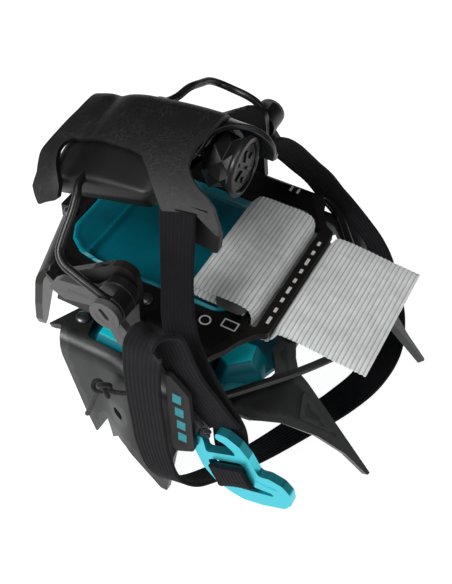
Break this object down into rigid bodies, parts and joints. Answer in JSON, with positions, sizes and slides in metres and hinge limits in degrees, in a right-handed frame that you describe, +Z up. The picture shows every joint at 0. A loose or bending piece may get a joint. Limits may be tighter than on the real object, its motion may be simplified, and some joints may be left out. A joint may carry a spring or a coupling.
{
  "type": "folding crampon",
  "caption": "Mountaineering crampon folded for the pack: toothed front section, heel section stacked on it by a webbing link, two wire bails, heel lever with adjusting dial, wrapped ankle strap with hook.",
  "frame": {"origin": "centre of the bounding box's base: the tooth tips stand on z = 0", "axes": "+X forward, the way the front points point; +Y to the wearer's left; +Z up"},
  "size_m": [0.127, 0.1207, 0.1098],
  "materials": {
    "front_steel": "satin black coating, grey where light catches it",
    "heel_steel": "semi-gloss black coating",
    "bail_wire": "semi-gloss black",
    "bare_steel": "brushed",
    "teal_plastic": "satin moulded teal, finely ribbed",
    "black_plastic": "satin charcoal",
    "grey_plastic": "satin mid grey",
    "cover_plastic": "dark grey, fine crackle texture",
    "dial_plastic": "satin, faceted",
    "link_webbing": "ribbed woven light grey",
    "strap_webbing": "ribbed woven black",
    "label_rubber": "matt",
    "hook_aluminium": "bright cyan anodised",
    "cord": "braided black"
  },
  "bodies": {
    "front_section": {"front_plate": "front_steel", "front_antiball_plate": "teal_plastic", "front_rivet_rear_right": "bare_steel", "front_rivet_toe_right": "bare_steel", "front_rivet_rear_left": "bare_steel", "front_rivet_toe_left": "bare_steel", "bail_socket_right": "black_plastic", "bail_socket_left": "black_plastic", "shock_cord": "cord", "shock_cord_end": "cord", "shock_cord_knot": "cord", "link_anchor_pin": "bare_steel", "link_strand": "link_webbing", "strap_tail": "strap_webbing", "strap_ring": "strap_webbing", "strap_far_run": "strap_webbing"},
    "toe_bail": {"toe_bail": "bail_wire"},
    "heel_section": {"heel_plate": "heel_steel", "heel_antiball_plate": "teal_plastic", "bail_holder_right": "grey_plastic", "bail_holder_left": "grey_plastic", "heel_rivet_rear_right": "bare_steel", "heel_rivet_side_right": "bare_steel", "heel_rivet_rear_left": "bare_steel", "heel_rivet_side_left": "bare_steel", "link_loop": "link_webbing", "link_toggle": "grey_plastic", "strap_near_mid": "strap_webbing", "strap_near_run": "strap_webbing", "strap_return": "strap_webbing", "strap_label": "label_rubber", "strap_far_mid": "strap_webbing"},
    "link_tail": {"link_tail": "link_webbing"},
    "heel_bail": {"heel_bail": "bail_wire"},
    "heel_lever": {"lever_cover": "cover_plastic", "lever_body": "black_plastic", "strap_pin_right": "bare_steel", "strap_pin_left": "bare_steel", "strap_near_top": "strap_webbing", "strap_far_top": "strap_webbing"},
    "adjust_dial": {"adjust_dial": "dial_plastic", "dial_cap": "dial_plastic", "adjust_screw": "bare_steel"},
    "adjust_nut": {"adjust_nut": "bare_steel"},
    "strap_hook": {"g_hook": "hook_aluminium", "strap_hook_loop": "strap_webbing", "hook_cord": "cord", "hook_cord_knot": "cord"}
  },
  "joints": [
    {"name": "heel_lift", "type": "slide", "parent": "front_section", "child": "heel_section", "axis": [0, 0, 1], "range_m": [0, 0.03], "deforming": ["link_strand", "strap_tail", "strap_far_run"]},
    {"name": "toe_bail_swing", "type": "hinge", "parent": "front_section", "child": "toe_bail", "pos_m": [0.00884, 0.00315, 0.0456], "axis": [0, -1, 0], "range_deg": [0, 40]},
    {"name": "link_tail_lift", "type": "hinge", "parent": "heel_section", "child": "link_tail", "pos_m": [0.02684, 0.00315, 0.0543], "axis": [0, -1, 0], "range_deg": [0, 84]},
    {"name": "heel_bail_swing", "type": "hinge", "parent": "heel_section", "child": "heel_bail", "pos_m": [-0.01466, 0.00315, 0.0723], "axis": [0, 1, 0], "range_deg": [0, 20], "deforming": ["strap_near_mid", "strap_far_mid"]},
    {"name": "heel_lever_tilt", "type": "hinge", "parent": "heel_bail", "child": "heel_lever", "pos_m": [-0.03716, 0.00315, 0.0928], "axis": [0, -1, 0], "range_deg": [0, 30], "deforming": ["strap_near_top", "strap_far_top"]},
    {"name": "dial_turn", "type": "hinge", "parent": "heel_lever", "child": "adjust_dial", "pos_m": [-0.00516, 0.00315, 0.0928], "axis": [1, 0, 0], "range_deg": [0, 1350]},
    {"name": "nut_travel", "type": "slide", "parent": "heel_lever", "child": "adjust_nut", "axis": [1, 0, 0], "range_m": [0, 0.003]},
    {"name": "hook_swing", "type": "hinge", "parent": "heel_section", "child": "strap_hook", "pos_m": [0.02324, -0.04925, 0.0475], "axis": [-0.8601, 0, -0.5101], "range_deg": [0, 25], "deforming": ["strap_hook_loop", "strap_label", "hook_cord"]}
  ],
  "couplings": [
    {"joint": "link_tail_lift", "follows": "toe_bail_swing", "ratio": 2.1},
    {"joint": "nut_travel", "follows": "dial_turn", "m_per_rad": 0.0001273}
  ]
}
